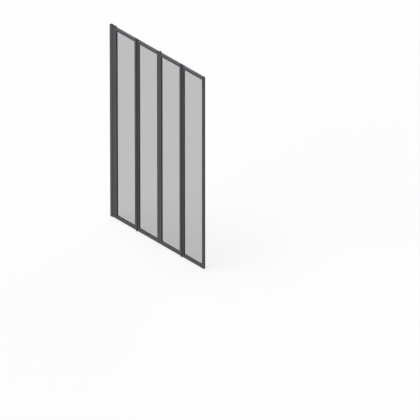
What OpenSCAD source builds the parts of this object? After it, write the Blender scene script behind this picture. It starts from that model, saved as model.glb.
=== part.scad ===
// Folding bath screen: four framed glass panels on full-height hinges, carried by a
// telescopic wall profile. The origin is at the wall, on the centre plane of the glass,
// at the level of the bath rim. X runs along the bath, +Y points into the bath, Z is up.

/* [Screen] */
// Height of the screen above the bath rim
screen_h = 1500; // [1200:10:1800]
// Width of the clear glass in each panel
view_w = 165; // [120:1:240]
// Thickness of the panel frames
frame_t = 15; // [14:0.5:20]
// Free height under the panels, closed by the drip seals
rim_gap = 4; // [3:0.5:6]

/* [Wall profile] */
// Width of the wall channel, measured from the wall
channel_w = 22; // [20:0.5:30]
// Thickness of the channel where it lies on the wall
channel_base = 2; // [1.6:0.1:2.8]
// Thickness of the channel's two sides
channel_side = 1.5; // [1.3:0.1:2.5]
// Height of the cap on top of the channel
channel_cap_h = 3; // [2:0.5:5]
// Width of the wall post that shows beside the channel
post_show_w = 15.5; // [14:0.5:25]
// Room for the wall screws' heads between the channel and the post
post_back_gap = 3.3; // [3:0.1:4]
// Travel of the post in the channel, to suit walls out of plumb
post_travel = 8; // [4:0.5:8]
// Radius of the holes for the wall screws
wall_hole_r = 2.6; // [2:0.1:3.5]
// Number of holes for the wall screws
wall_hole_count = 3; // [2:1:5]
// Distance from the lowest wall hole to the bath rim
wall_hole_inset = 100; // [60:5:200]

/* [Panel frames] */
// Width of the stiles beside the folding joints
stile_w = 19; // [18:0.5:25]
// Width of the first stile, beside the wall post
wall_stile_w = 21; // [18:0.5:30]
// Width of the stile at the free end
free_stile_w = 16; // [15.5:0.5:25]
// Height of the top rails
top_rail_h = 22; // [20:0.5:40]
// Height of the bottom rails
bottom_rail_h = 23; // [22.5:0.5:40]
// Wall thickness of the extrusions
wall_t = 1.3; // [1:0.1:1.6]
// Rounding of the extrusions' outer edges
edge_r = 0.8; // [0.4:0.1:1.2]
// Thickness of the plastic end caps
end_cap_t = 1.5; // [1:0.1:2.5]
// Depth of the end caps' spigots
spigot_d = 2; // [1.5:0.1:3]

/* [Glass] */
// Thickness of the safety glass
glass_t = 4; // [3:0.5:5]
// Depth of the glazing grooves
groove_d = 9; // [8.8:0.1:10]
// Depth to which the glass is held in the grooves
glass_bite = 7.5; // [5:0.1:7.9]
// Thickness of the gasket round the glass
gasket_t = 1; // [0.6:0.1:1.4]
// Height to which the gasket's lips stand out of the grooves
lip_h = 2; // [0.6:0.1:4]
// Radius of the glass corners
glass_corner_r = 3; // [1:0.5:6]

/* [Hinges] */
// Outside radius of the hinge knuckles
barrel_r = 5; // [4.4:0.1:5.6]
// Radius of the hinge pins
pin_r = 2.5; // [2:0.1:2.8]
// Distance between two panels that are folded together
fold_gap = 2.4; // [2:0.1:4]
// Distance between the stiles when the screen is flat
stile_gap = 1; // [0.6:0.1:1.6]
// Number of knuckles in each hinge
knuckle_count = 7; // [3:2:11]
// Thickness of the washers between the knuckles
washer_t = 1; // [0.6:0.1:2]
// Height of the hinge caps
hinge_cap_h = 5; // [4:0.5:8]
// Rounding of the hinge caps' outer ends
hinge_cap_round = 1; // [0.5:0.1:2]
// Distance from the lower hinge caps to the bath rim
hinge_cap_gap = 0.8; // [0.5:0.1:1.2]
// Length of each hinge pin's end that sits in a cap
pin_seat = 2.2; // [1.5:0.1:2.6]

/* [Seals] */
// Thickness of the drip seals' pads
seal_pad_t = 1.2; // [0.8:0.1:1.6]
// Width of the drip seals' pads
seal_pad_w = 12; // [9:0.5:13]
// Thickness of the drip seals' fins
fin_t = 0.9; // [0.6:0.1:1.2]
// Angle through which the drip seals' fins curl inwards
fin_curl = 110; // [95:5:150]
// Distance from the fins to the bath rim
fin_gap = 0.6; // [0.3:0.1:1]
// Width of the seal strips inside the wall channel
strip_w = 1.5; // [1:0.1:1.6]

/* [Fasteners] */
// Radius of the corner screws
screw_r = 1.6; // [1.3:0.1:1.7]
// Radius of the corner screws' heads
screw_head_r = 2.75; // [2.4:0.05:3.1]
// Height of the corner screws' heads
screw_head_h = 2.2; // [1.6:0.1:3]
// Length of the corner screws under the head
screw_len = 24; // [18:0.5:40]
// Radius of the clamp screws
clamp_r = 2; // [1.6:0.1:2.2]
// Radius of the clamp screws' heads
clamp_head_r = 4; // [3.4:0.1:4]
// Height of the clamp screws' heads
clamp_head_h = 2.6; // [2:0.1:3]
// Number of clamp screws
clamp_count = 3; // [2:1:5]
// Distance from the end clamp screws to the ends of the screen
clamp_inset = 150; // [80:5:250]

/* [Hidden] */
$fn = 48;
// Small overlap that makes a cut run clean through a surface
cut = 0.1;
// Running clearance of a shaft in a bore
shaft_fit = 0.05;
// Running clearance between flat faces that slide
slide_fit = 0.1;
// Clearance of a piece pushed into a hollow by hand
push_fit = 0.15;
// Clearance of a knuckle in the recess of the neighbouring stile
barrel_fit = 0.4;
// Clearance of the wall post on each side in the channel
post_fit = 0.2;
panel_count = 4;
// Sides of the four hinges: 1 is the bath side and -1 the outer side
hinge_side = [1, -1, 1, -1];

// Frame sections
groove_w = glass_t + 2 * gasket_t;
leg_in = groove_w / 2 + wall_t;
leg_out = frame_t / 2 - wall_t;
port_out_r = screw_r + shaft_fit + wall_t;
port_mouth = 1.6;
port_web = wall_t;

// Seal slot in the bottom rails
slot_w = 5;
slot_d = 3;
slot_mouth = 2.6;
slot_top = wall_t + slot_d;

// Heights
panel_top = screen_h - hinge_cap_h + end_cap_t;
stile_z0 = rim_gap + end_cap_t;
stile_z1 = panel_top - end_cap_t;
stile_len = stile_z1 - stile_z0;
view_z0 = rim_gap + bottom_rail_h;
view_z1 = panel_top - top_rail_h;
top_port = max((top_rail_h - groove_d) / 2, end_cap_t + spigot_d + screw_head_r + push_fit);
bottom_port = slot_top + wall_t / 2 + port_out_r;
screw_z0 = rim_gap + bottom_port;
screw_z1 = panel_top - top_port;

// Hinges
axis_y = (frame_t + fold_gap) / 2;
recess_r = barrel_r + barrel_fit;
washer_gap = washer_t + 2 * slide_fit;
knuckle_h = (stile_len - (knuckle_count - 1) * washer_gap) / knuckle_count;
washer_r = barrel_r - 2 * slide_fit;
function knuckle_z(i) = stile_z0 + i * (knuckle_h + washer_gap);

// Places along the bath
post_back = channel_base + post_back_gap;
post_w = channel_w + post_show_w - post_back;
hinge_1_x = channel_w + post_show_w + stile_gap / 2;
function left_w(k) = k == 1 ? wall_stile_w : stile_w;
function right_w(k) = k == panel_count ? free_stile_w : stile_w;
function pitch(k) = stile_gap + left_w(k) + view_w + right_w(k);
function hinge_x(k) = k == 1 ? hinge_1_x : hinge_x(k - 1) + pitch(k - 1);
function view_x0(k) = hinge_x(k) + stile_gap / 2 + left_w(k);
function view_x1(k) = view_x0(k) + view_w;

// Wall channel
channel_in = frame_t / 2 + post_fit;
channel_out = channel_in + channel_side;
channel_h = screen_h - channel_cap_h;
hole_pitch = (screen_h - 2 * wall_hole_inset) / (wall_hole_count - 1);
strip_x = channel_w - 2;
strip_depth = channel_side / 2;
clamp_slot_r = clamp_r + push_fit;
clamp_x = post_back + wall_t + clamp_slot_r + shaft_fit;
clamp_pitch = (screen_h - 2 * clamp_inset) / (clamp_count - 1);
clamp_rib_t = 3;
clamp_reach = 8;
cover_t = 1.3;

frame_colour = [0.30, 0.31, 0.33];
cap_colour = [0.20, 0.21, 0.22];
rubber_colour = [0.12, 0.12, 0.13];
steel_colour = [0.72, 0.73, 0.75];
nylon_colour = [0.22, 0.22, 0.23];
glass_colour = [0.62, 0.66, 0.68, 0.4];

// ---- Outlines ----

// Rectangle with rounded corners, from its lower left corner
module rounded_rect(size, r) {
    translate([r, 0]) square([size[0] - 2 * r, size[1]]);
    translate([0, r]) square([size[0], size[1] - 2 * r]);
    for (x = [r, size[0] - r], y = [r, size[1] - r])
        translate([x, y]) circle(r);
}

// Hollow of a stile on the joint's side of its web, made smaller by a clearance
module stile_hollow(w, hinged, fit) {
    difference() {
        translate([stile_gap / 2 + wall_t + fit, fit - leg_out])
            square([w - groove_d - 2 * wall_t - 2 * fit, 2 * (leg_out - fit)]);
        if (hinged)
            translate([0, axis_y]) circle(recess_r + wall_t + fit);
    }
}

// Glazing groove of a stile, made smaller by a clearance
module stile_groove(w, fit) {
    translate([stile_gap / 2 + w - groove_d + fit, fit - groove_w / 2])
        square([groove_d + (fit == 0 ? cut : -2 * fit), groove_w - 2 * fit]);
}

// Body of a stile without its hollows: x runs from the joint's centre to the glass
module stile_outline(w) {
    translate([stile_gap / 2, -frame_t / 2]) rounded_rect([w, frame_t], edge_r);
}

// Section of a stile, with the knuckle's eye on its bath side
module stile_section(w, hinged) {
    difference() {
        union() {
            stile_outline(w);
            if (hinged)
                translate([0, axis_y]) circle(barrel_r);
        }
        stile_hollow(w, hinged, 0);
        stile_groove(w, 0);
        for (side = [-1, 1])
            translate([stile_gap / 2 + w - groove_d, (side * (leg_in + leg_out) + leg_in - leg_out) / 2])
                square([groove_d - wall_t, leg_out - leg_in]);
        if (hinged)
            translate([0, axis_y]) circle(pin_r + shaft_fit);
    }
}

// Section of the wall post: x runs from the joint's centre towards the wall
module post_section() {
    middle = stile_gap / 2 + post_show_w;
    end = stile_gap / 2 + post_w;
    difference() {
        union() {
            translate([stile_gap / 2, -frame_t / 2]) rounded_rect([post_w, frame_t], edge_r);
            translate([0, axis_y]) circle(barrel_r);
        }
        post_hollow(0);
        translate([middle + wall_t, -leg_out])
            square([end - middle - 2 * wall_t, leg_out + frame_t / 2 - clamp_rib_t]);
        translate([0, axis_y]) circle(pin_r + shaft_fit);
    }
}

// Hollow of the wall post beside the first hinge, made smaller by a clearance
module post_hollow(fit) {
    difference() {
        translate([stile_gap / 2 + wall_t + fit, fit - leg_out])
            square([post_show_w - wall_t - 2 * fit, 2 * (leg_out - fit)]);
        translate([0, axis_y]) circle(recess_r + wall_t + fit);
    }
}

// Section of a rail: y runs from its outer face to the glass
module rail_section(h, port_y, slotted) {
    floor_y = slotted ? slot_top + wall_t : wall_t;
    roof_y = h - groove_d - wall_t;
    difference() {
        translate([-frame_t / 2, 0]) rounded_rect([frame_t, h], edge_r);
        translate([-groove_w / 2, h - groove_d]) square([groove_w, groove_d + cut]);
        for (side = [-1, 1])
            translate([(side * (leg_in + leg_out) + leg_in - leg_out) / 2, h - groove_d])
                square([leg_out - leg_in, groove_d - wall_t]);
        difference() {
            translate([-leg_out, wall_t]) square([2 * leg_out, roof_y - wall_t]);
            if (slotted)
                translate([-slot_w / 2 - wall_t, 0]) square([slot_w + 2 * wall_t, slot_top + wall_t]);
            translate([0, port_y]) circle(port_out_r);
            translate([-port_web / 2, floor_y - cut]) square([port_web, port_y - floor_y]);
        }
        translate([0, port_y]) circle(screw_r + shaft_fit);
        translate([-port_mouth / 2, port_y]) square([port_mouth, port_out_r + cut]);
        if (slotted) {
            translate([-slot_mouth / 2, -cut]) square([slot_mouth, wall_t + 2 * cut]);
            translate([-slot_w / 2, wall_t]) square([slot_w, slot_d]);
        }
    }
}

// Outline of the glass seen from the front, grown by a margin
module glass_outline(k, margin) {
    translate([view_x0(k) - glass_bite - margin, view_z0 - glass_bite - margin])
        rounded_rect([view_w + 2 * (glass_bite + margin),
            view_z1 - view_z0 + 2 * (glass_bite + margin)], glass_corner_r + margin);
}

// ---- Placing ----

// Puts a piece drawn for a joint at hinge k: dir 1 is the side away from the wall
module at_hinge(k, dir) {
    translate([hinge_x(k), 0, 0])
        mirror([dir < 0 ? 1 : 0, 0, 0])
            mirror([0, hinge_side[k - 1] < 0 ? 1 : 0, 0])
                children();
}

// Puts a piece drawn for a stile at the free end of the last panel
module at_free_end() {
    translate([view_x1(panel_count) + free_stile_w + stile_gap / 2, 0, 0])
        mirror([1, 0, 0])
            children();
}

// Stands a flat section in the upright plane across the bath's length
module along_x(x0, length) {
    translate([x0, 0, 0]) rotate([90, 0, 90]) linear_extrude(length) children();
}

// ---- Hinges ----

// Recesses for the knuckles of the other stile: first is 0 or 1
module knuckle_recesses(first) {
    for (i = [first : 2 : knuckle_count - 1])
        translate([0, axis_y, knuckle_z(i) - washer_gap])
            cylinder(r = recess_r, h = knuckle_h + 2 * washer_gap);
}

// Pin through all knuckles of hinge k, with its ends in the two caps
module hinge_pin(k) {
    color(steel_colour)
        at_hinge(k, 1)
            translate([0, axis_y, stile_z0 - pin_seat])
                cylinder(r = pin_r, h = stile_len + 2 * pin_seat);
}

// One hinge cap, standing on its open end
module hinge_cap(h) {
    seat_r = pin_r + shaft_fit;
    seat_h = pin_seat + push_fit;
    round_r = hinge_cap_round;
    rotate_extrude() {
        translate([seat_r, 0]) square([barrel_r - seat_r, seat_h]);
        translate([0, seat_h]) square([barrel_r, h - seat_h - round_r]);
        translate([0, h - round_r - cut]) square([barrel_r - round_r, round_r + cut]);
        intersection() {
            translate([barrel_r - round_r, h - round_r]) circle(round_r);
            translate([barrel_r - round_r, h - round_r]) square(round_r);
        }
    }
}

// Caps on the two ends of hinge k
module hinge_caps(k) {
    color(cap_colour)
        at_hinge(k, 1)
            translate([0, axis_y, 0]) {
                translate([0, 0, stile_z1]) hinge_cap(hinge_cap_h);
                translate([0, 0, stile_z0]) mirror([0, 0, 1]) hinge_cap(stile_z0 - hinge_cap_gap);
            }
}

// Washers between the knuckles of hinge k
module hinge_washers(k) {
    color(nylon_colour)
        at_hinge(k, 1)
            for (i = [0 : knuckle_count - 2])
                translate([0, axis_y, knuckle_z(i) + knuckle_h + slide_fit])
                    difference() {
                        cylinder(r = washer_r, h = washer_t);
                        translate([0, 0, -cut]) cylinder(r = pin_r + shaft_fit, h = washer_t + 2 * cut);
                    }
}

// ---- Wall profile ----

// Channel screwed to the wall, open towards the panels
module wall_channel() {
    color(frame_colour)
        difference() {
            linear_extrude(channel_h)
                difference() {
                    translate([0, -channel_out]) rounded_rect([channel_w, 2 * channel_out], edge_r);
                    translate([channel_base, -channel_in])
                        square([channel_w - channel_base + cut, 2 * channel_in]);
                    for (side = [-1, 1])
                        translate([strip_x, side * channel_in - strip_depth])
                            square([strip_w, 2 * strip_depth]);
                }
            for (i = [0 : wall_hole_count - 1])
                translate([-cut, 0, wall_hole_inset + i * hole_pitch])
                    rotate([0, 90, 0]) cylinder(r = wall_hole_r, h = channel_base + 2 * cut);
            clamp_places()
                for (x = [0, post_travel])
                    translate([x, channel_in - cut, 0])
                        rotate([-90, 0, 0]) cylinder(r = clamp_slot_r, h = channel_side + 2 * cut);
            clamp_places()
                translate([0, channel_in - cut, -clamp_slot_r])
                    cube([post_travel, channel_side + 2 * cut, 2 * clamp_slot_r]);
        }
}

// Plastic cap that closes the top of the channel
module channel_top_cap() {
    color(cap_colour) {
        translate([0, -channel_out, channel_h])
            linear_extrude(channel_cap_h) rounded_rect([channel_w, 2 * channel_out], edge_r);
        translate([channel_base + push_fit, push_fit - channel_in, channel_h - 3 * spigot_d])
            cube([post_back_gap - 2 * push_fit, 2 * (channel_in - push_fit), 3 * spigot_d]);
    }
}

// Two strips that close the slit between the post and the channel
module channel_seal_strips() {
    color(rubber_colour)
        for (side = [0, 1])
            mirror([0, side, 0])
                translate([strip_x, channel_in - slide_fit, 0])
                    cube([strip_w, strip_depth + slide_fit, channel_h]);
}

// Post that slides in the channel and carries the first hinge
module wall_post() {
    color(frame_colour)
        difference() {
            at_hinge(1, -1)
                difference() {
                    translate([0, 0, stile_z0]) linear_extrude(stile_len) post_section();
                    knuckle_recesses(1);
                }
            clamp_places()
                rotate([-90, 0, 0]) cylinder(r = clamp_r + shaft_fit, h = frame_t);
        }
}

// Caps on the two ends of the wall post
module post_end_caps() {
    color(cap_colour)
        at_hinge(1, -1)
            for (top = [0, 1])
                translate([0, 0, top == 1 ? stile_z1 : stile_z0]) mirror([0, 0, 1 - top]) {
                    linear_extrude(end_cap_t)
                        difference() {
                            translate([stile_gap / 2, -frame_t / 2]) rounded_rect([post_w, frame_t], edge_r);
                            translate([0, axis_y]) circle(recess_r);
                        }
                    translate([0, 0, -spigot_d]) linear_extrude(spigot_d) post_hollow(push_fit);
                }
}

// Repeats a piece at each clamp screw
module clamp_places() {
    for (i = [0 : clamp_count - 1])
        translate([clamp_x, 0, clamp_inset + i * clamp_pitch]) children();
}

// Screws that hold the post at the wanted width, through the channel's slots
module clamp_screws() {
    color(steel_colour)
        clamp_places()
            translate([0, channel_out + slide_fit, 0]) rotate([-90, 0, 0]) {
                difference() {
                    cylinder(r = clamp_head_r, h = clamp_head_h);
                    translate([0, 0, clamp_head_h / 2])
                        cylinder(r = clamp_r, h = clamp_head_h, $fn = 6);
                }
                translate([0, 0, -clamp_reach]) cylinder(r = clamp_r, h = clamp_reach);
            }
}

// Snap covers over the clamp screws
module clamp_screw_covers() {
    inner_r = clamp_head_r + push_fit;
    inner_h = clamp_head_h + slide_fit;
    color(cap_colour)
        clamp_places()
            translate([0, channel_out + slide_fit, 0])
                rotate([-90, 0, 0])
                    rotate_extrude() {
                        translate([inner_r, 0]) square([cover_t, inner_h + cover_t / 2]);
                        translate([0, inner_h]) square([inner_r + cover_t / 2, cover_t]);
                    }
}

// ---- Panels ----

// Way of the corner screws through a stile, from the joint's side
module corner_screw_ways(w) {
    for (z = [screw_z0, screw_z1])
        translate([0, 0, z]) rotate([0, 90, 0]) {
            cylinder(r = screw_head_r + 2 * push_fit, h = stile_gap / 2 + wall_t + cut);
            translate([0, 0, w - groove_d - wall_t])
                cylinder(r = screw_r + push_fit, h = wall_t + stile_gap / 2 + cut);
        }
}

// Stile with its knuckles: first is the index of the neighbour's lowest knuckle
module hinge_stile(k, dir, w, first) {
    color(frame_colour)
        at_hinge(k, dir)
            difference() {
                translate([0, 0, stile_z0]) linear_extrude(stile_len) stile_section(w, true);
                knuckle_recesses(first);
                corner_screw_ways(w);
            }
}

module left_stile(k) {
    hinge_stile(k, 1, left_w(k), 0);
}

module right_stile(k) {
    hinge_stile(k + 1, -1, right_w(k), 1);
}

// Stile that closes the last panel
module free_stile() {
    color(frame_colour)
        at_free_end()
            difference() {
                translate([0, 0, stile_z0]) linear_extrude(stile_len) stile_section(free_stile_w, false);
                corner_screw_ways(free_stile_w);
            }
}

module top_rail(k) {
    color(frame_colour)
        translate([0, 0, panel_top]) mirror([0, 0, 1])
            along_x(view_x0(k), view_w) rail_section(top_rail_h, top_port, false);
}

module bottom_rail(k) {
    color(frame_colour)
        translate([0, 0, rim_gap])
            along_x(view_x0(k), view_w) rail_section(bottom_rail_h, bottom_port, true);
}

module glass_pane(k) {
    color(glass_colour)
        translate([0, glass_t / 2, 0]) rotate([90, 0, 0])
            linear_extrude(glass_t) glass_outline(k, 0);
}

// Rubber channel round the edge of the glass, with lips on both sides
module gasket(k) {
    color(rubber_colour)
        difference() {
            translate([0, groove_w / 2, 0]) rotate([90, 0, 0])
                linear_extrude(groove_w)
                    difference() {
                        glass_outline(k, gasket_t);
                        translate([view_x0(k) + lip_h, view_z0 + lip_h])
                            square([view_w - 2 * lip_h, view_z1 - view_z0 - 2 * lip_h]);
                    }
            translate([0, glass_t / 2, 0]) rotate([90, 0, 0])
                linear_extrude(glass_t) glass_outline(k, 0);
        }
}

// Section of a drip seal's pad, with two fins that curl down to the rim and inwards
module drip_seal_section() {
    curl_r = rim_gap - seal_pad_t - fin_gap;
    reach = curl_r + fin_t;
    translate([-seal_pad_w / 2, -seal_pad_t]) square([seal_pad_w, seal_pad_t]);
    for (side = [0, 1])
        mirror([side, 0]) translate([seal_pad_w / 2 - curl_r, -seal_pad_t])
            intersection() {
                difference() {
                    circle(curl_r);
                    circle(max(curl_r - fin_t, cut));
                }
                polygon([
                    [0, cut],
                    [reach, cut],
                    [reach, -reach],
                    [reach / tan(fin_curl), -reach],
                    [0, 0]]);
            }
}

// Seal under a panel: a pad with two fins, and a head in the rail's slot
module drip_seal(k) {
    free_end = k == panel_count;
    pad_x0 = hinge_x(k) + recess_r + barrel_fit;
    pad_x1 = free_end ? view_x1(k) + free_stile_w - edge_r : hinge_x(k + 1) - recess_r - barrel_fit;
    head_w = slot_w - 2 * push_fit;
    neck_w = slot_mouth - 2 * push_fit;
    head_h = slot_d - 2 * push_fit;
    color(rubber_colour)
        translate([0, 0, rim_gap]) {
            along_x(pad_x0, pad_x1 - pad_x0) drip_seal_section();
            along_x(view_x0(k), view_w) {
                translate([-neck_w / 2, -cut]) square([neck_w, wall_t + push_fit + 2 * cut]);
                translate([-head_w / 2, wall_t + push_fit]) square([head_w, head_h]);
            }
        }
}

// One corner screw, its head against the stile's web
module corner_screw() {
    difference() {
        translate([0, 0, -screw_head_h]) cylinder(r = screw_head_r, h = screw_head_h);
        translate([0, 0, -screw_head_h - cut]) cylinder(r = screw_r, h = screw_head_h / 2 + cut, $fn = 6);
    }
    cylinder(r = screw_r, h = screw_len);
}

// Screws that hold the rails of panel k between its stiles
module corner_screws(k) {
    seat = groove_d + wall_t;
    color(steel_colour)
        for (z = [screw_z0, screw_z1]) {
            translate([view_x0(k) - seat, 0, z]) rotate([0, 90, 0]) corner_screw();
            translate([view_x1(k) + seat, 0, z]) rotate([0, -90, 0]) corner_screw();
        }
}

// Caps on the two ends of one stile
module stile_end_caps(w, hinged) {
    for (top = [0, 1])
        translate([0, 0, top == 1 ? stile_z1 : stile_z0]) mirror([0, 0, 1 - top]) {
            linear_extrude(end_cap_t)
                difference() {
                    stile_outline(w);
                    if (hinged)
                        translate([0, axis_y]) circle(recess_r);
                }
            translate([0, 0, -spigot_d])
                linear_extrude(spigot_d) {
                    stile_hollow(w, hinged, push_fit);
                    stile_groove(w, push_fit);
                }
        }
}

module end_caps(k) {
    color(cap_colour) {
        at_hinge(k, 1) stile_end_caps(left_w(k), true);
        if (k == panel_count)
            at_free_end() stile_end_caps(right_w(k), false);
        else
            at_hinge(k + 1, -1) stile_end_caps(right_w(k), true);
    }
}

// Plugs that hide the screw holes in the free edge
module edge_plugs() {
    plug_r = screw_head_r + push_fit;
    color(cap_colour)
        at_free_end()
            for (z = [screw_z0, screw_z1])
                translate([stile_gap / 2, 0, z]) rotate([0, 90, 0]) {
                    cylinder(r = plug_r, h = wall_t);
                    mirror([0, 0, 1]) cylinder(r1 = plug_r + wall_t, r2 = plug_r, h = wall_t / 2);
                }
}

wall_channel();
channel_top_cap();
channel_seal_strips();
wall_post();
post_end_caps();
clamp_screws();
clamp_screw_covers();
hinge_pin(1);  // hinge_1_pin
hinge_caps(1);  // hinge_1_caps
hinge_washers(1);  // hinge_1_washers
hinge_pin(2);  // hinge_2_pin
hinge_caps(2);  // hinge_2_caps
hinge_washers(2);  // hinge_2_washers
hinge_pin(3);  // hinge_3_pin
hinge_caps(3);  // hinge_3_caps
hinge_washers(3);  // hinge_3_washers
hinge_pin(4);  // hinge_4_pin
hinge_caps(4);  // hinge_4_caps
hinge_washers(4);  // hinge_4_washers
left_stile(1);  // panel_1_left_stile
right_stile(1);  // panel_1_right_stile
top_rail(1);  // panel_1_top_rail
bottom_rail(1);  // panel_1_bottom_rail
glass_pane(1);  // panel_1_glass
gasket(1);  // panel_1_gasket
drip_seal(1);  // panel_1_drip_seal
corner_screws(1);  // panel_1_corner_screws
end_caps(1);  // panel_1_end_caps
left_stile(2);  // panel_2_left_stile
right_stile(2);  // panel_2_right_stile
top_rail(2);  // panel_2_top_rail
bottom_rail(2);  // panel_2_bottom_rail
glass_pane(2);  // panel_2_glass
gasket(2);  // panel_2_gasket
drip_seal(2);  // panel_2_drip_seal
corner_screws(2);  // panel_2_corner_screws
end_caps(2);  // panel_2_end_caps
left_stile(3);  // panel_3_left_stile
right_stile(3);  // panel_3_right_stile
top_rail(3);  // panel_3_top_rail
bottom_rail(3);  // panel_3_bottom_rail
glass_pane(3);  // panel_3_glass
gasket(3);  // panel_3_gasket
drip_seal(3);  // panel_3_drip_seal
corner_screws(3);  // panel_3_corner_screws
end_caps(3);  // panel_3_end_caps
left_stile(4);  // panel_4_left_stile
free_stile();  // panel_4_free_stile
top_rail(4);  // panel_4_top_rail
bottom_rail(4);  // panel_4_bottom_rail
glass_pane(4);  // panel_4_glass
gasket(4);  // panel_4_gasket
drip_seal(4);  // panel_4_drip_seal
corner_screws(4);  // panel_4_corner_screws
end_caps(4);  // panel_4_end_caps
edge_plugs();  // panel_4_edge_plugs
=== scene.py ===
# %% [markdown]
# # Dressing a folding shower screen
# The screen is four narrow glass panels in dark powder-coated frames, joined by
# full-height hinges and carried by a wall profile. Every rigid piece comes from CAD at its
# real size, and it arrives here as a fixed frame. This lesson gives those pieces their
# finishes, models the soft seals that CAD only blocks in and the threads that it leaves
# out, and sets up light and camera.

# %% Load the frame
import math

import bpy
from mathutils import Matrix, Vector


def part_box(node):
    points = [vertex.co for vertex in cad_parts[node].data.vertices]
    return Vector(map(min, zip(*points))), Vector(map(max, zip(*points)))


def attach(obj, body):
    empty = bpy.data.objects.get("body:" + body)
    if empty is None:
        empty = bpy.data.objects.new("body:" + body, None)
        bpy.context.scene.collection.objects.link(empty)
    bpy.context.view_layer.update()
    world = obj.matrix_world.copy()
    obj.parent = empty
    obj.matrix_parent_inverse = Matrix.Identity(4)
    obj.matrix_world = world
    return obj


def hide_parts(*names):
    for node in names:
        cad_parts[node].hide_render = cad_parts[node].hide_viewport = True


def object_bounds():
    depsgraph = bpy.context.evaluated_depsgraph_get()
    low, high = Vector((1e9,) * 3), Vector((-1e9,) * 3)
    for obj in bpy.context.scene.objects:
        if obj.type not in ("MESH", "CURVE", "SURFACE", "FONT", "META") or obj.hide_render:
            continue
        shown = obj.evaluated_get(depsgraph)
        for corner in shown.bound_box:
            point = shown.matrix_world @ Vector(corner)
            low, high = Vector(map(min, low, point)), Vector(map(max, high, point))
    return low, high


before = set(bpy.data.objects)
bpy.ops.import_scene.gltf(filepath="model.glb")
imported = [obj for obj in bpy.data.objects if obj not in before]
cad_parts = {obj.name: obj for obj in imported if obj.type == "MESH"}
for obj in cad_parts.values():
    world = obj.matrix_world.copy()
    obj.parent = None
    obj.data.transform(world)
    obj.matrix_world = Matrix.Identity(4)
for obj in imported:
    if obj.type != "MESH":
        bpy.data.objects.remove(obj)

MM = 0.001
cad_low, cad_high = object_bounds()
print(len(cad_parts), "CAD nodes, box in mm:",
      [round(v / MM, 1) for v in (*cad_low, *cad_high)])

# %% [markdown]
# ## The camera
# The product is drawn in a parallel view: its upright lines stay upright and its long
# lines never meet. A normal lens close by would spread them. A very long lens far away
# gives the same parallel look and still behaves as a real camera, so that is used here:
# 45 degrees round from the front and 35 degrees up, looking a little above the middle.

# %% Camera
AROUND = math.radians(45)
ABOVE = math.radians(35)
VIEW_WIDTH = 2.700
CAMERA_AWAY = 120.0
LOOK_ALONG = 0.6385
LOOK_UP = 0.0338
SENSOR_MM = 36
CLIP_NEAR = 1
CLIP_FAR = 400

towards_camera = Vector((math.sin(AROUND) * math.cos(ABOVE),
                         -math.cos(AROUND) * math.cos(ABOVE), math.sin(ABOVE)))
picture_right = Vector((math.cos(AROUND), math.sin(AROUND), 0))
picture_up = towards_camera.cross(picture_right)
middle_depth = ((cad_low + cad_high) / 2).dot(towards_camera)
look_at = picture_right * LOOK_ALONG + picture_up * LOOK_UP + towards_camera * middle_depth

bpy.ops.object.select_all(action="DESELECT")
bpy.ops.object.camera_add(location=look_at + towards_camera * CAMERA_AWAY,
                          rotation=towards_camera.to_track_quat("Z", "Y").to_euler())
camera = bpy.context.object
camera.name = "camera"
camera.data.sensor_width = SENSOR_MM
camera.data.lens = SENSOR_MM * CAMERA_AWAY / VIEW_WIDTH
camera.data.clip_start = CLIP_NEAR
camera.data.clip_end = CLIP_FAR
bpy.context.scene.camera = camera
print("lens in mm:", round(camera.data.lens), "looking at", [round(v, 3) for v in look_at])

# %% [markdown]
# ## Small helpers for shader nodes
# A finish is a small network of nodes. These helpers add a node, set its sockets and join
# them, so that each material below reads as a short recipe.

# %% Node helpers
def feed(tree, socket, value):
    """Links a socket to another one, or sets it to a plain value."""
    if isinstance(value, bpy.types.NodeSocket):
        tree.links.new(value, socket)
    else:
        socket.default_value = value


def add(tree, kind, settings=None, **sockets):
    """Adds a node. settings are its own options, and sockets its inputs by name."""
    node = tree.nodes.new(kind)
    for name, value in (settings or {}).items():
        setattr(node, name, value)
    for name, value in sockets.items():
        feed(tree, node.inputs[name.replace("_", " ")], value)
    return node


def add_math(tree, operation, *values):
    """Adds a Math node, with its inputs in order, and gives its result."""
    node = add(tree, "ShaderNodeMath", {"operation": operation})
    for socket, value in zip(node.inputs, values):
        feed(tree, socket, value)
    return node.outputs[0]


def blend_colours(tree, share, first, second):
    """Colour that goes from first to second as share goes from 0 to 1."""
    mix = add(tree, "ShaderNodeMix", {"data_type": "RGBA"})
    colour_inputs = [socket for socket in mix.inputs if socket.type == "RGBA"]
    feed(tree, mix.inputs[0], share)
    feed(tree, colour_inputs[0], (*first, 1))
    feed(tree, colour_inputs[1], (*second, 1))
    return next(socket for socket in mix.outputs if socket.type == "RGBA")

# %% [markdown]
# ## Backdrop and floor
# A product picture wants a white ground, but white made with strong lamps would bleach
# the dark frames. So the ground is white only to the eye: what the camera, a mirror or
# the glass sees is white, and what lights the object is a plain grey floor. The white
# ground is mostly a glow. About a quarter of it is real reflected light, and that part
# keeps a soft shadow under the screen.

# %% One look for light and one for the eye
def show(tree, for_light, for_eye, output_kind):
    """Gives seen rays (camera, mirror, glass) one shader and all other rays another."""
    rays = tree.nodes.new("ShaderNodeLightPath").outputs
    seen = add_math(tree, "MAXIMUM", rays["Is Camera Ray"], rays["Is Glossy Ray"])
    seen = add_math(tree, "MAXIMUM", seen, rays["Is Transmission Ray"])
    shown = add(tree, "ShaderNodeMixShader", Fac=seen)
    tree.links.new(for_light.outputs[0], shown.inputs[1])
    tree.links.new(for_eye.outputs[0], shown.inputs[2])
    add(tree, output_kind, Surface=shown.outputs[0])

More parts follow.
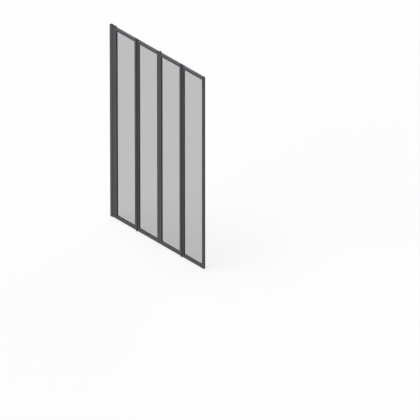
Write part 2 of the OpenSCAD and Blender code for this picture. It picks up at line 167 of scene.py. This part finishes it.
# %% Backdrop
ROOM_TINT = (0.93, 0.96, 1, 1)
ROOM_LIGHT = 0.15
WHITE = (1, 1, 1, 1)
BACKDROP_WHITE = 0.982

scene = bpy.context.scene
scene.view_settings.view_transform = "Standard"
world = bpy.data.worlds.new("studio")
scene.world = world
world.use_nodes = True
tree = world.node_tree
tree.nodes.clear()
show(tree, add(tree, "ShaderNodeBackground", Color=ROOM_TINT, Strength=ROOM_LIGHT),
     add(tree, "ShaderNodeBackground", Color=WHITE, Strength=BACKDROP_WHITE),
     "ShaderNodeOutputWorld")
print("backdrop: room light", ROOM_LIGHT)

# %% Floor
FLOOR_SIZE = 24
FLOOR_MIDDLE = (0.4, 0, 0)
FLOOR_GREY = (0.26, 0.26, 0.26, 1)
SHADED_GREY = (0.22, 0.22, 0.22, 1)
FLOOR_GLOW = 0.71

bpy.ops.object.select_all(action="DESELECT")
bpy.ops.mesh.primitive_plane_add(size=FLOOR_SIZE, location=FLOOR_MIDDLE)
floor = bpy.context.object
floor.name = "floor"
floor_paint = bpy.data.materials.new("floor_paint")
floor_paint.use_nodes = True
tree = floor_paint.node_tree
tree.nodes.clear()
takes_shadow = add(tree, "ShaderNodeBsdfDiffuse", Color=SHADED_GREY)
glow = add(tree, "ShaderNodeEmission", Color=WHITE, Strength=FLOOR_GLOW)
white_ground = tree.nodes.new("ShaderNodeAddShader")
tree.links.new(takes_shadow.outputs[0], white_ground.inputs[0])
tree.links.new(glow.outputs[0], white_ground.inputs[1])
show(tree, add(tree, "ShaderNodeBsdfDiffuse", Color=FLOOR_GREY), white_ground,
     "ShaderNodeOutputMaterial")
floor.data.materials.append(floor_paint)
print("floor:", FLOOR_SIZE, "m square, level with the foot of the screen")

# %% [markdown]
# ## Light
# Thin dark frames are read by the difference between their top, front and side faces. A
# large soft lamp nearly overhead lights the tops, a weaker one from the left lights the
# fronts, and one behind keeps the far side from going black. Far-away sun lamps with a
# wide angle do this evenly over the whole height, where a small softbox would fade. A
# wide sun fills a large part of the sky, and through a pane it would show as a white
# disc, so the lamps are hidden from the rays that pass through glass.

# %% Lamps
LAMP_AWAY = 5


def soft_lamp(name, comes_from, strength, spread, tint):
    """A broad lamp that shines from a direction onto the screen. spread is in degrees."""
    direction = Vector(comes_from).normalized()
    bpy.ops.object.select_all(action="DESELECT")
    bpy.ops.object.light_add(type="SUN", location=direction * LAMP_AWAY,
                             rotation=direction.to_track_quat("Z", "Y").to_euler())
    lamp = bpy.context.object
    lamp.name = name
    lamp.data.energy = strength
    lamp.data.angle = math.radians(spread)
    lamp.data.color = tint
    lamp.visible_transmission = False


soft_lamp("lamp_overhead", (-0.28, -0.10, 0.95), 2.8, 40, (1, 0.99, 0.97))
soft_lamp("lamp_front", (-0.35, -0.90, 0.35), 1.4, 60, (0.95, 0.97, 1))
soft_lamp("lamp_behind", (-0.15, 0.90, 0.40), 1.0, 60, (1, 0.98, 0.96))

# %% [markdown]
# ## What all finishes share
# Every finish starts from Blender's Principled shader, with its patterns laid in Object
# coordinates. Each piece keeps its place in its mesh, so a pattern has the same real size
# everywhere and moves with its piece. A noise pattern is mostly between 0.3 and 0.7, and
# that span is stretched to the roughness wanted.

# %% Finish helpers
def new_finish(name):
    """Starts a material, and gives it with its tree, its shader and the Object place."""
    material = bpy.data.materials.new(name)
    material.use_nodes = True
    tree = material.node_tree
    place = tree.nodes.new("ShaderNodeTexCoord").outputs["Object"]
    return material, tree, tree.nodes["Principled BSDF"], place


def vary_roughness(tree, shader, pattern, smooth, matt, low=0.3, high=0.7):
    """Roughness that goes from smooth to matt as a pattern goes from low to high."""
    level = add(tree, "ShaderNodeMapRange", Value=pattern, From_Min=low, From_Max=high,
                To_Min=smooth, To_Max=matt)
    tree.links.new(level.outputs[0], shader.inputs["Roughness"])


def bump(tree, pattern, strength, depth, **under):
    """Surface direction that follows a pattern. under is the Normal of a bump below it."""
    return add(tree, "ShaderNodeBump", Strength=strength, Distance=depth, Height=pattern,
               **under).outputs[0]

# %% [markdown]
# ## Powder coat
# Powder coat is baked plastic on aluminium: satin, with the fine waves that painters
# call orange peel, and under it the faint lines that the extrusion die leaves along the
# bar. Flat colour with one roughness would look like paper. Here noise gives slow and
# fine colour changes, the waves move roughness and bump together, and another noise,
# stretched along the bar, makes the die lines. Uprights and rails get one each, because
# their bars run in different directions.

# %% Powder coat
COAT_DARK = (0.068, 0.073, 0.081)
COAT_LIGHT = (0.085, 0.090, 0.099)
COAT_SPECULAR = 0.28
CLOUD_SCALE = 7
SPECKLE_SCALE = 2600
SPECKLE_SHARE = 0.55
PEEL_SCALE = 620
PEEL_DEPTH = 0.03 * MM
LINE_DEPTH = 0.02 * MM
LINES_ACROSS = 900
LINES_ALONG = 5


def powder_coat(name, die_lines):
    """Satin powder coat on a bar. die_lines is how fine its lines are along each axis."""
    material, tree, shader, place = new_finish(name)
    cloud = add(tree, "ShaderNodeTexNoise", Vector=place, Scale=CLOUD_SCALE, Detail=3)
    speckle = add(tree, "ShaderNodeTexNoise", Vector=place, Scale=SPECKLE_SCALE, Detail=2)
    peel = add(tree, "ShaderNodeTexNoise", Vector=place, Scale=PEEL_SCALE, Detail=1.5,
               Roughness=0.4)
    stretched = add(tree, "ShaderNodeMapping", Vector=place, Scale=die_lines)
    lines = add(tree, "ShaderNodeTexNoise", Vector=stretched.outputs[0], Scale=1, Detail=2)

    both = add_math(tree, "MULTIPLY_ADD", speckle.outputs["Fac"], SPECKLE_SHARE,
                    cloud.outputs["Fac"])
    share = add(tree, "ShaderNodeMapRange", Value=both, From_Min=0.45, From_Max=1.10)
    feed(tree, shader.inputs["Base Color"],
         blend_colours(tree, share.outputs[0], COAT_DARK, COAT_LIGHT))
    vary_roughness(tree, shader, peel.outputs["Fac"], 0.40, 0.52)
    under = bump(tree, lines.outputs["Fac"], 0.25, LINE_DEPTH)
    feed(tree, shader.inputs["Normal"],
         bump(tree, peel.outputs["Fac"], 0.35, PEEL_DEPTH, Normal=under))
    shader.inputs["Specular IOR Level"].default_value = COAT_SPECULAR
    return material


coat_on_uprights = powder_coat("powder_coat_uprights",
                               (LINES_ACROSS, LINES_ACROSS, LINES_ALONG))
coat_on_rails = powder_coat("powder_coat_rails", (LINES_ALONG, LINES_ACROSS, LINES_ACROSS))
print("powder coat:", coat_on_uprights.name, "and", coat_on_rails.name)

# %% [markdown]
# ## Moulded plastic, nylon and rubber
# Caps and covers are moulded in a spark-eroded tool, which prints a fine pebble grain on
# them. A Voronoi pattern gives that grain. The washers are smooth nylon, and the seals
# are matt rubber, dusty in patches, which a faint sheen and a slow noise suggest.

# %% Plastic, nylon and rubber
PATCH_SCALE = 45


def grained(name, dark, light, grain, depth, smooth, matt, specular=0.5, sheen=0.0):
    """Plastic with a pebble grain, of so many pebbles per metre and so deep in metres."""
    material, tree, shader, place = new_finish(name)
    pebbles = add(tree, "ShaderNodeTexVoronoi", {"feature": "SMOOTH_F1"}, Vector=place,
                  Scale=grain, Smoothness=0.6)
    patches = add(tree, "ShaderNodeTexNoise", Vector=place, Scale=PATCH_SCALE, Detail=4)
    feed(tree, shader.inputs["Base Color"],
         blend_colours(tree, patches.outputs["Fac"], dark, light))
    vary_roughness(tree, shader, patches.outputs["Fac"], smooth, matt)
    feed(tree, shader.inputs["Normal"], bump(tree, pebbles.outputs["Distance"], 0.6, depth))
    shader.inputs["Specular IOR Level"].default_value = specular
    shader.inputs["Sheen Weight"].default_value = sheen
    return material


cap_plastic = grained("moulded_caps", (0.022, 0.024, 0.027), (0.031, 0.033, 0.036),
                      1700, 0.05 * MM, 0.50, 0.62, specular=0.22)
washer_nylon = grained("washer_nylon", (0.060, 0.061, 0.063), (0.080, 0.081, 0.083),
                       2600, 0.01 * MM, 0.36, 0.46)
seal_rubber = grained("seal_rubber", (0.018, 0.018, 0.019), (0.030, 0.030, 0.031),
                      2200, 0.03 * MM, 0.66, 0.82, sheen=0.12)
print("moulded finishes:", cap_plastic.name, washer_nylon.name, seal_rubber.name)

# %% [markdown]
# ## Stainless steel
# Pins and screws are turned and ground, so their metal carries fine rings round their
# length. Noise that is squeezed along the piece gives those rings. Pins stand upright,
# corner screws lie along the screen and clamp screws across it, so there are three.

# %% Steel
STEEL_DARK = (0.47, 0.48, 0.49)
STEEL_LIGHT = (0.60, 0.61, 0.62)
MARK_DEPTH = 0.01 * MM
MARKS_ALONG = 4200
MARKS_ROUND = 300


def ground_steel(name, squeeze):
    """Turned and ground steel. squeeze is how fine the marks are along each axis."""
    material, tree, shader, place = new_finish(name)
    squeezed = add(tree, "ShaderNodeMapping", Vector=place, Scale=squeeze)
    marks = add(tree, "ShaderNodeTexNoise", Vector=squeezed.outputs[0], Scale=1, Detail=3)
    feed(tree, shader.inputs["Base Color"],
         blend_colours(tree, marks.outputs["Fac"], STEEL_DARK, STEEL_LIGHT))
    vary_roughness(tree, shader, marks.outputs["Fac"], 0.24, 0.40)
    feed(tree, shader.inputs["Normal"], bump(tree, marks.outputs["Fac"], 0.3, MARK_DEPTH))
    shader.inputs["Metallic"].default_value = 1.0
    return material


steel_upright = ground_steel("ground_steel_upright", (MARKS_ROUND, MARKS_ROUND, MARKS_ALONG))
steel_along = ground_steel("ground_steel_along", (MARKS_ALONG, MARKS_ROUND, MARKS_ROUND))
steel_across = ground_steel("ground_steel_across", (MARKS_ROUND, MARKS_ALONG, MARKS_ROUND))
print("steel:", steel_upright.name, steel_along.name, steel_across.name)

# %% [markdown]
# ## Tinted glass
# The panes are toughened safety glass with a light grey tint: over white they show a
# plain mid grey. A real pane also mirrors the room a little. The Principled shader in
# its transmission mode does both. Glass in a path tracer stops lamp light, so rays that
# look for a lamp get a Transparent shader of a like tint instead, and the shadow of a
# pane comes out light, as it should. A faint haze in the mirror image stands for the
# film that water leaves.

# %% Glass
GLASS_TINT = (0.489, 0.491, 0.495)
SHADOW_TINT = (0.66, 0.665, 0.67, 1)
GLASS_IOR = 1.5
FILM_SCALE = 14
FILM_HAZE = 0.06

tinted_glass, tree, shader, place = new_finish("grey_glass")
shader.inputs["Base Color"].default_value = (*GLASS_TINT, 1)
shader.inputs["Transmission Weight"].default_value = 1.0
shader.inputs["IOR"].default_value = GLASS_IOR
film = add(tree, "ShaderNodeTexNoise", Vector=place, Scale=FILM_SCALE, Detail=5,
           Roughness=0.6)
vary_roughness(tree, shader, film.outputs["Fac"], 0.0, FILM_HAZE, low=0.4, high=0.8)
lamp_tint = add(tree, "ShaderNodeBsdfTransparent", Color=SHADOW_TINT)
rays = tree.nodes.new("ShaderNodeLightPath")
shown = add(tree, "ShaderNodeMixShader", Fac=rays.outputs["Is Shadow Ray"])
tree.links.new(shader.outputs[0], shown.inputs[1])
tree.links.new(lamp_tint.outputs[0], shown.inputs[2])
tree.links.new(shown.outputs[0], tree.nodes["Material Output"].inputs["Surface"])
print("glass tint:", GLASS_TINT)

# %% [markdown]
# ## Finishes on the CAD pieces
# Each CAD piece already has its shape, so it only needs its finish. The names say what a
# piece is, so the finish is chosen by the end of the name.

# %% Finish the CAD pieces
FINISHES = {
    "channel": coat_on_uprights, "post": coat_on_uprights, "stile": coat_on_uprights,
    "rail": coat_on_rails,
    "cap": cap_plastic, "caps": cap_plastic, "covers": cap_plastic, "plugs": cap_plastic,
    "pin": steel_upright, "screws": steel_along, "washers": washer_nylon, "glass": tinted_glass,
    "gasket": seal_rubber, "seal": seal_rubber, "strips": seal_rubber,
}
finished = {}
for name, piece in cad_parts.items():
    finish = FINISHES[name.split("_")[-1]]
    for slot in piece.material_slots:
        slot.material = finish
    finished[finish.name] = finished.get(finish.name, 0) + 1
print("finished CAD nodes:", finished)

# %% [markdown]
# ## Helpers for modelling
# The seals are soft, so their lips are round and curved where CAD has a plainer shape.
# Each new piece starts from a primitive and is shaped in edit mode. A new primitive or a
# loaded node may still be selected, so a helper selects only the faces or edges that pass
# a test on their place, as a modeller would pick them by hand. All four panels have the
# same seals and screws, so each is modelled once, for panel 1, and copied along the screen.

# %% Selecting and placing
SELECT_MODES = {"vertices": "VERT", "edges": "EDGE", "polygons": "FACE"}
# A face looks along an axis when that part of its normal is over this.
FACING = 0.9


def select_only(piece):
    """Selects one piece and makes it the active one."""
    bpy.ops.object.select_all(action="DESELECT")
    bpy.context.view_layer.objects.active = piece
    piece.select_set(True)


def place_in_mesh():
    """Moves the selected pieces' place, turn and scale into their meshes."""
    bpy.ops.object.transform_apply(location=True, rotation=True, scale=True)


def block(name, low, high):
    """Adds a solid block between two corners and opens it in edit mode."""
    bpy.ops.object.select_all(action="DESELECT")
    bpy.ops.mesh.primitive_cube_add(size=1, location=(low + high) / 2, scale=high - low)
    piece = bpy.context.object
    piece.name = name
    place_in_mesh()
    bpy.ops.object.mode_set(mode="EDIT")
    return piece


def pick(piece, what, test):
    """Selects the points, edges or faces whose middle passes the test, and nothing else."""
    bpy.ops.mesh.select_mode(type=SELECT_MODES[what])
    bpy.ops.mesh.select_all(action="DESELECT")
    bpy.ops.object.mode_set(mode="OBJECT")
    mesh = piece.data
    found = 0
    for part in getattr(mesh, what):
        ends = [part] if what == "vertices" else [mesh.vertices[i] for i in part.vertices]
        part.select = test(sum((end.co for end in ends), Vector()) / len(ends), part)
        found += part.select
    bpy.ops.object.mode_set(mode="EDIT")
    return found

# %% Cutting, closing and copying
JOIN_WITHIN = 0.002 * MM
SMOOTH_BELOW = math.radians(35)


def cut_through(place, direction):
    """Cuts the whole piece along a plane, which adds edges and takes nothing away."""
    bpy.ops.mesh.select_all(action="SELECT")
    bpy.ops.mesh.bisect(plane_co=place, plane_no=direction)


def move_faces_out(x=0.0, y=0.0, z=0.0):
    """Extrudes the selected faces and moves the new ones."""
    bpy.ops.mesh.extrude_region_move(TRANSFORM_OT_translate={"value": (x, y, z)})


def close_up(piece, finish):
    """Leaves edit mode with joined points and outward faces, and smooths the round parts."""
    bpy.ops.mesh.select_all(action="SELECT")
    bpy.ops.mesh.remove_doubles(threshold=JOIN_WITHIN)
    bpy.ops.mesh.normals_make_consistent(inside=False)
    bpy.ops.object.mode_set(mode="OBJECT")
    bpy.ops.object.shade_smooth_by_angle(angle=SMOOTH_BELOW)
    piece.data.materials.clear()
    piece.data.materials.append(finish)


def copy_along(piece, name, shift):
    """Copies a piece, mesh and all, and moves the copy along the screen."""
    select_only(piece)
    bpy.ops.object.duplicate(linked=False)
    twin = bpy.context.object
    twin.name = name
    bpy.ops.transform.translate(value=(shift, 0, 0))
    place_in_mesh()
    return twin


def hang(piece, body, stands_for):
    """Makes a piece move with a CAD body, in place of the plainer CAD node."""
    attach(piece, body)
    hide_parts(stands_for)
    print(piece.name, "on", body, "with", len(piece.data.polygons), "faces")

# %% [markdown]
# ## Glazing gaskets
# A pane is held in its groove by a rubber channel round its edge, with a lip on each
# face of the glass. What shows is that lip: a thin round bead along all four sides,
# mitred at the corners. It could be swept as a curve, but an inset block gives exact
# mitres at once: its front and back are inset and bridged into a frame, a channel for
# the glass is sunk into the four walls of the opening, and the edges of the opening are
# bevelled into beads.

# %% Gaskets
LIP_REACH = 10.5 * MM
CHANNEL_FLOOR = 1 * MM
GLASS_HALF = 2.05 * MM
BEAD_R = 0.8 * MM
BEAD_SEGMENTS = 6
HAIR = 0.01 * MM


def model_gasket(name, low, high):
    """A rubber frame that fills the box, with a channel for the glass and round beads."""
    piece = block(name, low, high)
    opening_low = low + Vector((LIP_REACH, 0, LIP_REACH))
    opening_high = high - Vector((LIP_REACH, 0, LIP_REACH))
    faces = pick(piece, "polygons", lambda c, f: abs(f.normal.y) > FACING)
    bpy.ops.mesh.inset(thickness=LIP_REACH, use_even_offset=True)
    bpy.ops.mesh.bridge_edge_loops()
    for y in (-GLASS_HALF, GLASS_HALF):
        cut_through((0, y, 0), (0, 1, 0))

    def in_opening(c):
        return (opening_low.x - HAIR < c.x < opening_high.x + HAIR
                and opening_low.z - HAIR < c.z < opening_high.z + HAIR)

    walls = pick(piece, "polygons", lambda c, f: in_opening(c) and abs(c.y) < GLASS_HALF)
    bpy.ops.mesh.extrude_region_shrink_fatten(
        TRANSFORM_OT_shrink_fatten={"value": CHANNEL_FLOOR - LIP_REACH, "use_even_offset": True})
    beads = pick(piece, "edges", lambda c, e: in_opening(c) and abs(c.y) > high.y - HAIR)
    bpy.ops.mesh.bevel(offset=BEAD_R, segments=BEAD_SEGMENTS, affect="EDGES")
    print("gasket: faces, walls and bead edges found:", faces, walls, beads)
    close_up(piece, seal_rubber)
    return piece


gasket_low, gasket_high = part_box("panel_1_gasket")
gaskets = [model_gasket("glazing_gasket_1", gasket_low, gasket_high)]
for k in (2, 3, 4):
    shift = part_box(f"panel_{k}_gasket")[0].x - gasket_low.x
    gaskets.append(copy_along(gaskets[0], f"glazing_gasket_{k}", shift))
for k, gasket in enumerate(gaskets, 1):
    hang(gasket, f"panel_{k}", f"panel_{k}_gasket")

# %% [markdown]
# ## Drip seals
# Under each panel hangs a rubber seal that keeps the water in: a flat pad with two fins
# that curl inwards and wipe what is below, and a barbed head that is pushed into a slot of
# the bottom rail. It could be a curve with a drawn section, but the head is shorter than the
# pad, because a corner screw sits at each end of the rail. So the pad is a cut block, and
# its outer strips are extruded and turned in small steps, which gives the even curl of a
# soft lip, while the head grows from a strip in the middle of its top.

# %% Drip seal of panel 1
PAD_T = 1.2 * MM
FIN_ROOT = 0.9 * MM
CURL_R = 2.2 * MM
CURL_STEPS = 10
CURL_TURN = math.radians(112) / CURL_STEPS
FIN_TAPER = 0.965
NECK_HALF = 1.15 * MM
NECK_H = 1.45 * MM
BARB_HALF = 2.35 * MM
BARB_H = 2.7 * MM
BARB_SLOPE = 0.12 * MM
BARB_TIP = 0.5

rail_low, rail_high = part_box("panel_1_bottom_rail")


def model_drip_seal(name, low, high):
    """A pad with two curled fins below it and a barbed head on top."""
    half = high.y
    pad_low = low.z + CURL_R
    piece = block(name, Vector((low.x, -half, pad_low)), Vector((high.x, half, pad_low + PAD_T)))
    for y in (FIN_ROOT - half, -NECK_HALF, NECK_HALF, half - FIN_ROOT):
        cut_through((0, y, 0), (0, 1, 0))
    for x in (rail_low.x, rail_high.x):
        cut_through((x, 0, 0), (1, 0, 0))
    for side in (-1, 1):
        roots = pick(piece, "polygons", lambda c, f: f.normal.z < -FACING
                     and side * c.y > half - FIN_ROOT)
        for step in range(CURL_STEPS):
            move_faces_out()
            bpy.ops.transform.rotate(value=side * CURL_TURN, orient_axis="X",
                                     center_override=(0, side * (half - CURL_R), pad_low))
            bpy.ops.transform.resize(value=(1, FIN_TAPER, FIN_TAPER))
    strips = pick(piece, "polygons", lambda c, f: f.normal.z > FACING and abs(c.y) < NECK_HALF
                  and rail_low.x < c.x < rail_high.x)
    move_faces_out(z=NECK_H)
    move_faces_out(z=BARB_SLOPE)
    bpy.ops.transform.resize(value=(1, BARB_HALF / NECK_HALF, 1))
    move_faces_out(z=BARB_H / 3 - BARB_SLOPE)
    move_faces_out(z=BARB_H * 2 / 3)
    bpy.ops.transform.resize(value=(1, BARB_TIP, 1))
    print("drip seal: fin roots and head strips found:", roots, strips)
    close_up(piece, seal_rubber)
    return piece


seal_low, seal_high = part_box("panel_1_drip_seal")
seals = [model_drip_seal("drip_seal_1", seal_low, seal_high)]

# %% [markdown]
# The pads aren't all as long: the first and the last panel have stiles of other widths.
# So each copy is moved by the distance between the rails, and then only the two ends of
# its pad are pulled to the length that the CAD seal has.

# %% Drip seals of the other panels
def pull_end(piece, test, distance):
    """Moves the points that pass the test along the screen, and says how many they are."""
    found = pick(piece, "vertices", test)
    bpy.ops.transform.translate(value=(distance, 0, 0))
    return found


for k in (2, 3, 4):
    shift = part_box(f"panel_{k}_bottom_rail")[0].x - rail_low.x
    seal = copy_along(seals[0], f"drip_seal_{k}", shift)
    low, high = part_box(f"panel_{k}_drip_seal")
    bpy.ops.object.mode_set(mode="EDIT")
    left = pull_end(seal, lambda c, v: c.x < rail_low.x + shift - MM,
                    low.x - seal_low.x - shift)
    right = pull_end(seal, lambda c, v: c.x > rail_high.x + shift + MM,
                     high.x - seal_high.x - shift)
    bpy.ops.object.mode_set(mode="OBJECT")
    print(seal.name, "end points pulled:", left, right)
    seals.append(seal)
for k, seal in enumerate(seals, 1):
    hang(seal, f"panel_{k}", f"panel_{k}_drip_seal")

# %% [markdown]
# ## Seal strips in the wall channel
# The post slides in and out of the channel, and a rubber strip in each side of the
# channel wipes it. Such strips have two small round lips with a groove between them, so
# that the second stops what passes the first. A thin bar is cut lengthwise in three, the
# middle is sunk for the groove, and the lips' edges are bevelled round. The strip on the
# other side is the same one, turned half round.

# %% Channel seal strips
STRIP_T = 0.85 * MM
GROOVE_HALF = 0.2 * MM
GROOVE_SINK = 0.45 * MM
LIP_ROUND = 0.24 * MM
LIP_SEGMENTS = 4

low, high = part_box("channel_seal_strips")
strip_x = (low.x + high.x) / 2
lip_y = low.y + STRIP_T

front_strip = block("channel_strip_front", low, Vector((high.x, lip_y, high.z)))
for x in (strip_x - GROOVE_HALF, strip_x + GROOVE_HALF):
    cut_through((x, 0, 0), (1, 0, 0))
middle = pick(front_strip, "polygons", lambda c, f: f.normal.y > FACING
              and abs(c.x - strip_x) < GROOVE_HALF)
move_faces_out(y=-GROOVE_SINK)
lips = pick(front_strip, "edges", lambda c, e: c.y > lip_y - HAIR
            and low.z + HAIR < c.z < high.z - HAIR)
bpy.ops.mesh.bevel(offset=LIP_ROUND, segments=LIP_SEGMENTS, affect="EDGES")
print("channel strip: middle and lip edges found:", middle, lips)
close_up(front_strip, seal_rubber)

back_strip = copy_along(front_strip, "channel_strip_back", 0)
bpy.ops.transform.rotate(value=math.pi, orient_axis="Z", center_override=(strip_x, 0, 0))
place_in_mesh()
for strip in (front_strip, back_strip):
    hang(strip, "wall_bracket", "channel_seal_strips")

# %% [markdown]
# ## Screws
# Each panel's rails are held between its stiles by four screws that form their own thread
# in the rails' ports, and three machine screws clamp the post in its channel. A thread
# could be a bump in the material, but then its outline stays smooth, so it is real here. A
# thread is a small profile that turns and climbs at once, which is what the Screw modifier
# does. The Boolean modifier then fuses thread, core and head, and cuts the hexagon socket.

# %% Bars, rims and modifiers
def rod(name, radius, low_z, high_z, sides):
    """Adds an upright bar on the Z axis."""
    bpy.ops.object.select_all(action="DESELECT")
    bpy.ops.mesh.primitive_cylinder_add(vertices=sides, radius=radius, depth=high_z - low_z,
                                        location=(0, 0, (low_z + high_z) / 2))
    place_in_mesh()
    piece = bpy.context.object
    piece.name = name
    return piece


def round_rim(piece, at_z, offset, segments):
    """Bevels the edges of the round face at one height."""
    bpy.ops.object.mode_set(mode="EDIT")
    pick(piece, "edges", lambda c, e: abs(c.z - at_z) < HAIR)
    bpy.ops.mesh.bevel(offset=offset, segments=segments, affect="EDGES")
    bpy.ops.object.mode_set(mode="OBJECT")


def use_modifier(piece, kind, **settings):
    """Adds a modifier to a piece and applies it."""
    bpy.context.view_layer.objects.active = piece
    modifier = piece.modifiers.new(kind.lower(), kind)
    for name, value in settings.items():
        setattr(modifier, name, value)
    bpy.ops.object.modifier_apply(modifier=modifier.name)


def combine(piece, tool, operation):
    """Fuses a tool piece into another or cuts it away, and deletes the tool."""
    use_modifier(piece, "BOOLEAN", object=tool, operation=operation, solver="EXACT")
    bpy.data.objects.remove(tool)

# %% Thread
STEPS_PER_TURN = 16
ROOT_SINK = 0.1 * MM
ROOT_SHARE = 0.6
CREST_SHARE = 0.15


def thread_ridge(core_r, crest_r, pitch, low_z, high_z):
    """A ridge that winds round the Z axis, rooted a little inside the core."""
    root_r = core_r - ROOT_SINK
    bpy.ops.object.select_all(action="DESELECT")
    bpy.ops.mesh.primitive_plane_add(size=1, rotation=(math.pi / 2, 0, 0),
                                     location=((root_r + crest_r) / 2, 0, low_z))
    ridge = bpy.context.object
    ridge.scale = (crest_r - root_r, pitch * ROOT_SHARE, 1)
    place_in_mesh()
    bpy.ops.object.mode_set(mode="EDIT")
    pick(ridge, "vertices", lambda c, v: c.x > crest_r - HAIR)
    bpy.ops.transform.resize(value=(1, 1, CREST_SHARE))
    bpy.ops.object.mode_set(mode="OBJECT")
    use_modifier(ridge, "SCREW", axis="Z", angle=math.tau, screw_offset=pitch,
                 iterations=int((high_z - low_z) / pitch), steps=STEPS_PER_TURN,
                 render_steps=STEPS_PER_TURN)
    bpy.ops.object.mode_set(mode="EDIT")
    bpy.ops.mesh.select_all(action="SELECT")
    bpy.ops.mesh.remove_doubles(threshold=JOIN_WITHIN)
    bpy.ops.mesh.fill_holes(sides=4)
    bpy.ops.mesh.normals_make_consistent(inside=False)
    bpy.ops.object.mode_set(mode="OBJECT")
    return ridge

# %% One screw
HEAD_SIDES = 32
CORE_SIDES = 20
SOCKET_SIDES = 6
RIM_SEGMENTS = 3


def model_screw(name, head_r, head_h, length, core_r, crest_r, pitch, finish):
    """An upright screw: the head's seat at Z 0, its socket below, its thread above."""
    screw = rod(name, head_r, -head_h, 0, HEAD_SIDES)
    round_rim(screw, -head_h, head_h / 5, RIM_SEGMENTS)
    combine(screw, rod("socket", crest_r, -2 * head_h, -head_h / 2, SOCKET_SIDES), "DIFFERENCE")
    core = rod("core", core_r, -head_h / 4, length, CORE_SIDES)
    round_rim(core, length, core_r / 3, 1)
    combine(core, thread_ridge(core_r, crest_r, pitch, pitch, length - pitch), "UNION")
    combine(screw, core, "UNION")
    select_only(screw)
    bpy.ops.object.mode_set(mode="EDIT")
    close_up(screw, finish)
    print(name, "is", round((length + head_h) / MM, 1), "mm long, with",
          len(screw.data.polygons), "faces")
    return screw

# %% [markdown]
# The screw is modelled upright, and then copied to its places: turned so that its thread
# runs along the rail from either end, and moved until its head lies where CAD has it. The
# four copies of a panel are joined, because CAD has them in one node too.

# %% Places of the screws
INTO_RIGHT = (0, math.pi / 2, 0)
INTO_LEFT = (0, -math.pi / 2, 0)
INTO_FRONT = (math.pi / 2, 0, 0)


def place_screws(screw, name, places):
    """Joins turned and moved copies of a screw. A place is a rotation and a position."""
    copies = []
    for turn, position in places:
        select_only(screw)
        bpy.ops.object.duplicate(linked=False)
        twin = bpy.context.object
        twin.rotation_euler = turn
        twin.location = position
        place_in_mesh()
        copies.append(twin)
    for twin in copies:
        twin.select_set(True)
    bpy.ops.object.join()
    joined = bpy.context.object
    joined.name = name
    bpy.data.objects.remove(screw)
    return joined

# %% Corner screws
CORNER_HEAD_H = 2.2 * MM
CORNER_LENGTH = 24 * MM
CORNER_CORE_R = 1.2 * MM
CORNER_CREST_R = 1.6 * MM
CORNER_PITCH = 1.2 * MM

low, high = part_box("panel_1_corner_screws")
head_r = (high.y - low.y) / 2
rows = (low.z + head_r, high.z - head_r)
places = [(INTO_RIGHT, (low.x + CORNER_HEAD_H, 0, z)) for z in rows]
places += [(INTO_LEFT, (high.x - CORNER_HEAD_H, 0, z)) for z in rows]
corner_screw = model_screw("corner_screw", head_r, CORNER_HEAD_H, CORNER_LENGTH,
                           CORNER_CORE_R, CORNER_CREST_R, CORNER_PITCH, steel_along)
screws = [place_screws(corner_screw, "corner_screws_1", places)]
for k in (2, 3, 4):
    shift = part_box(f"panel_{k}_corner_screws")[0].x - low.x
    screws.append(copy_along(screws[0], f"corner_screws_{k}", shift))
for k, piece in enumerate(screws, 1):
    hang(piece, f"panel_{k}", f"panel_{k}_corner_screws")

# %% Clamp screws
CLAMP_HEAD_H = 2.6 * MM
CLAMP_CORE_R = 1.6 * MM
CLAMP_CREST_R = 2 * MM
CLAMP_PITCH = 0.7 * MM

low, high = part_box("clamp_screws")
head_r = (high.x - low.x) / 2
clamp_x = (low.x + high.x) / 2
clamp_y = high.y - CLAMP_HEAD_H
rows = (low.z + head_r, (low.z + high.z) / 2, high.z - head_r)
clamp_screw = model_screw("clamp_screw", head_r, CLAMP_HEAD_H, high.y - low.y - CLAMP_HEAD_H,
                          CLAMP_CORE_R, CLAMP_CREST_R, CLAMP_PITCH, steel_across)
clamps = place_screws(clamp_screw, "clamp_screws_threaded",
                      [(INTO_FRONT, (clamp_x, clamp_y, z)) for z in rows])
hang(clamps, "sliding_post", "clamp_screws")
